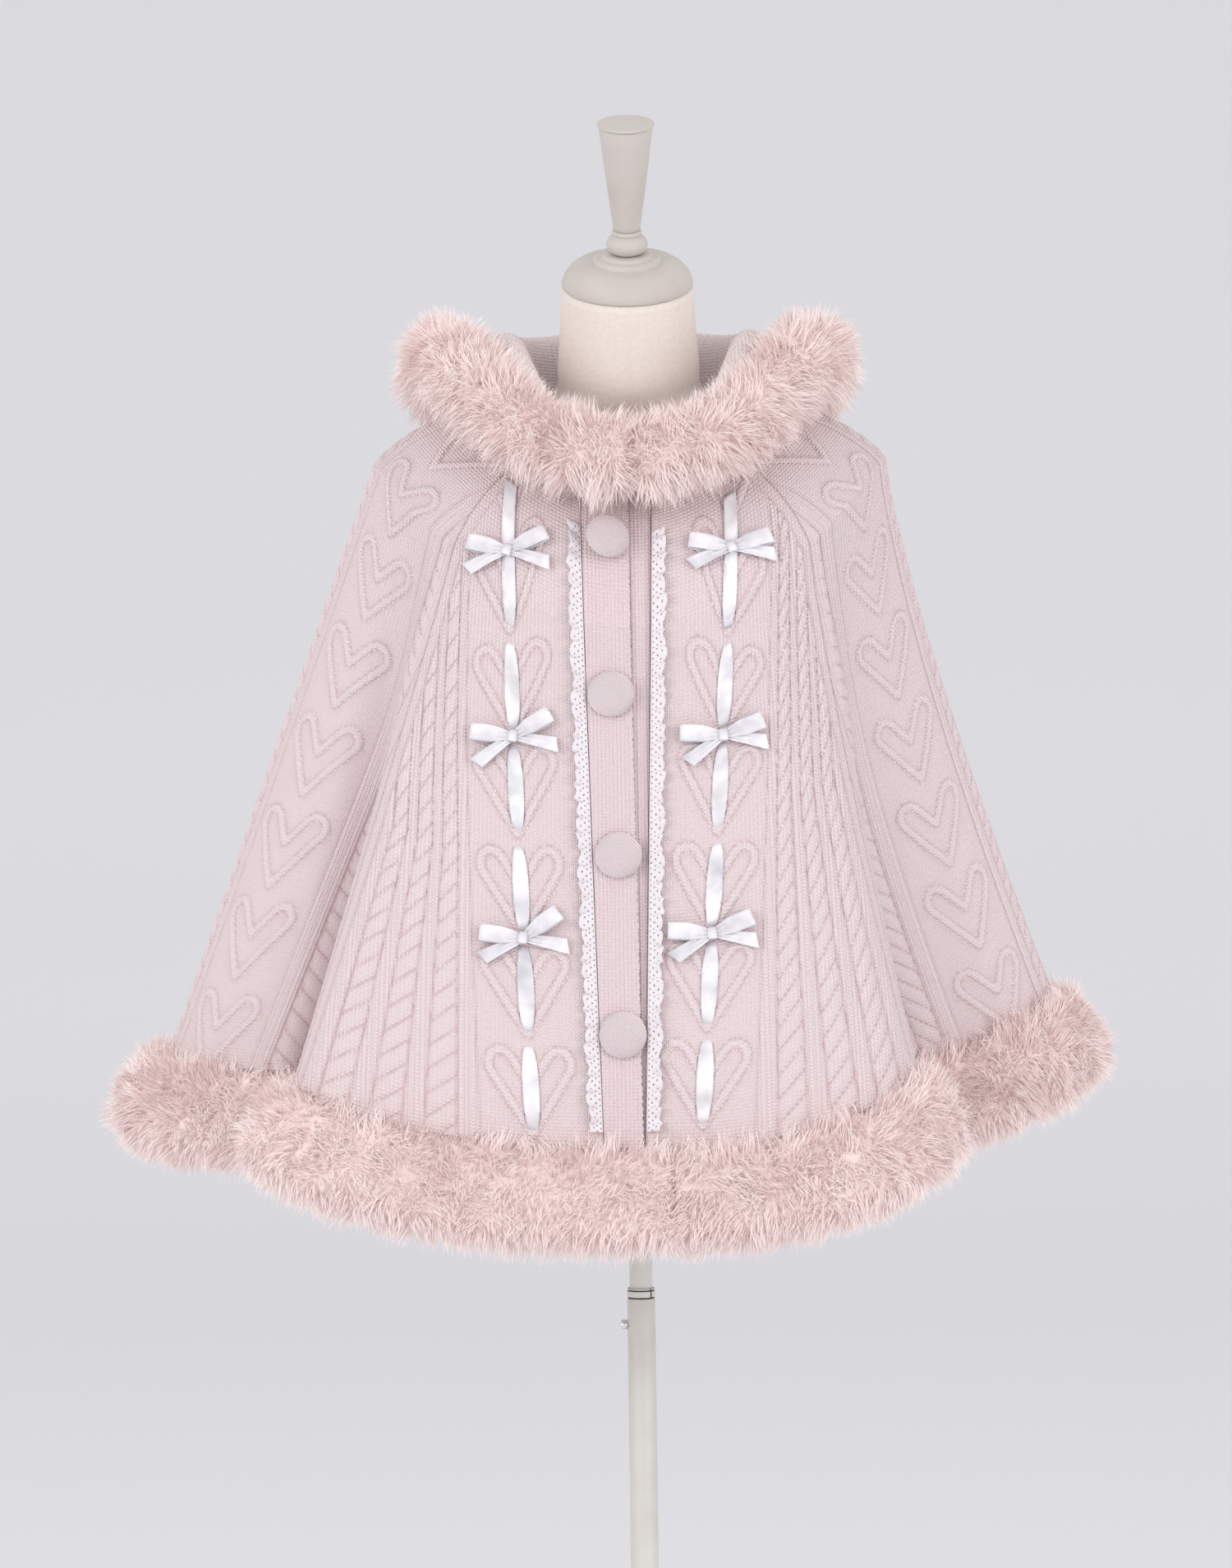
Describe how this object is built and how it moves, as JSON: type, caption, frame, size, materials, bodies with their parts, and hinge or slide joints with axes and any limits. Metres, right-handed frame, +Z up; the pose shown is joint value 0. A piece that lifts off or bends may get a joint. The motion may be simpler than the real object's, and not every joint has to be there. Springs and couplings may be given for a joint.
{
  "type": "poncho on a dress form",
  "caption": "Hooded cable-knit poncho with fur borders, ribbons, bows and lace, on a limbless dress form with a pole stand",
  "frame": {"origin": "middle of the underside of the stand's base", "axes": "+Z up, front of the garment toward -Y, +X to the viewer's right"},
  "size_m": [0.8126, 0.5059, 1.5571],
  "materials": {
    "knit": "pale pink cable knit",
    "fur": "pale pink long-pile faux fur",
    "satin": "white satin ribbon",
    "lace": "white gathered lace",
    "button_cloth": "pale pink twill over a domed button",
    "form_linen": "cream linen",
    "cap_paint": "cream painted wood",
    "stand_paint": "cream painted metal",
    "screw": "zinc"
  },
  "bodies": {
    "stand": {"base": "stand_paint", "tube": "stand_paint", "collar": "stand_paint", "set_screw": "screw"},
    "form": {"front_left": "knit", "front_right": "knit", "sleeve_left": "knit", "sleeve_right": "knit", "back": "knit", "placket_over": "knit", "placket_under": "knit", "hood": "knit", "hood_fur_left": "fur", "hood_fur_right": "fur", "hood_fur_back": "fur", "hem_fur_front_left": "fur", "hem_fur_front_right": "fur", "hem_fur_sleeve_left": "fur", "hem_fur_sleeve_right": "fur", "hem_fur_back": "fur", "ribbon_left_1": "satin", "ribbon_left_2": "satin", "ribbon_left_3": "satin", "ribbon_left_4": "satin", "ribbon_left_5": "satin", "ribbon_left_6": "satin", "ribbon_right_1": "satin", "ribbon_right_2": "satin", "ribbon_right_3": "satin", "ribbon_right_4": "satin", "ribbon_right_5": "satin", "ribbon_right_6": "satin", "bow_left_1": "satin", "bow_left_2": "satin", "bow_left_3": "satin", "bow_right_1": "satin", "bow_right_2": "satin", "bow_right_3": "satin", "lace_left": "lace", "lace_right": "lace", "button_1": "button_cloth", "button_2": "button_cloth", "button_3": "button_cloth", "button_4": "button_cloth", "torso": "form_linen", "neck_cap": "cap_paint", "finial_bulb": "cap_paint", "finial": "cap_paint", "finial_lid": "cap_paint", "post": "stand_paint"}
  },
  "joints": [
    {"name": "stand_height", "type": "slide", "parent": "stand", "child": "form", "axis": [0, 0, 1], "range_m": [-0.06, 0.2]}
  ]
}
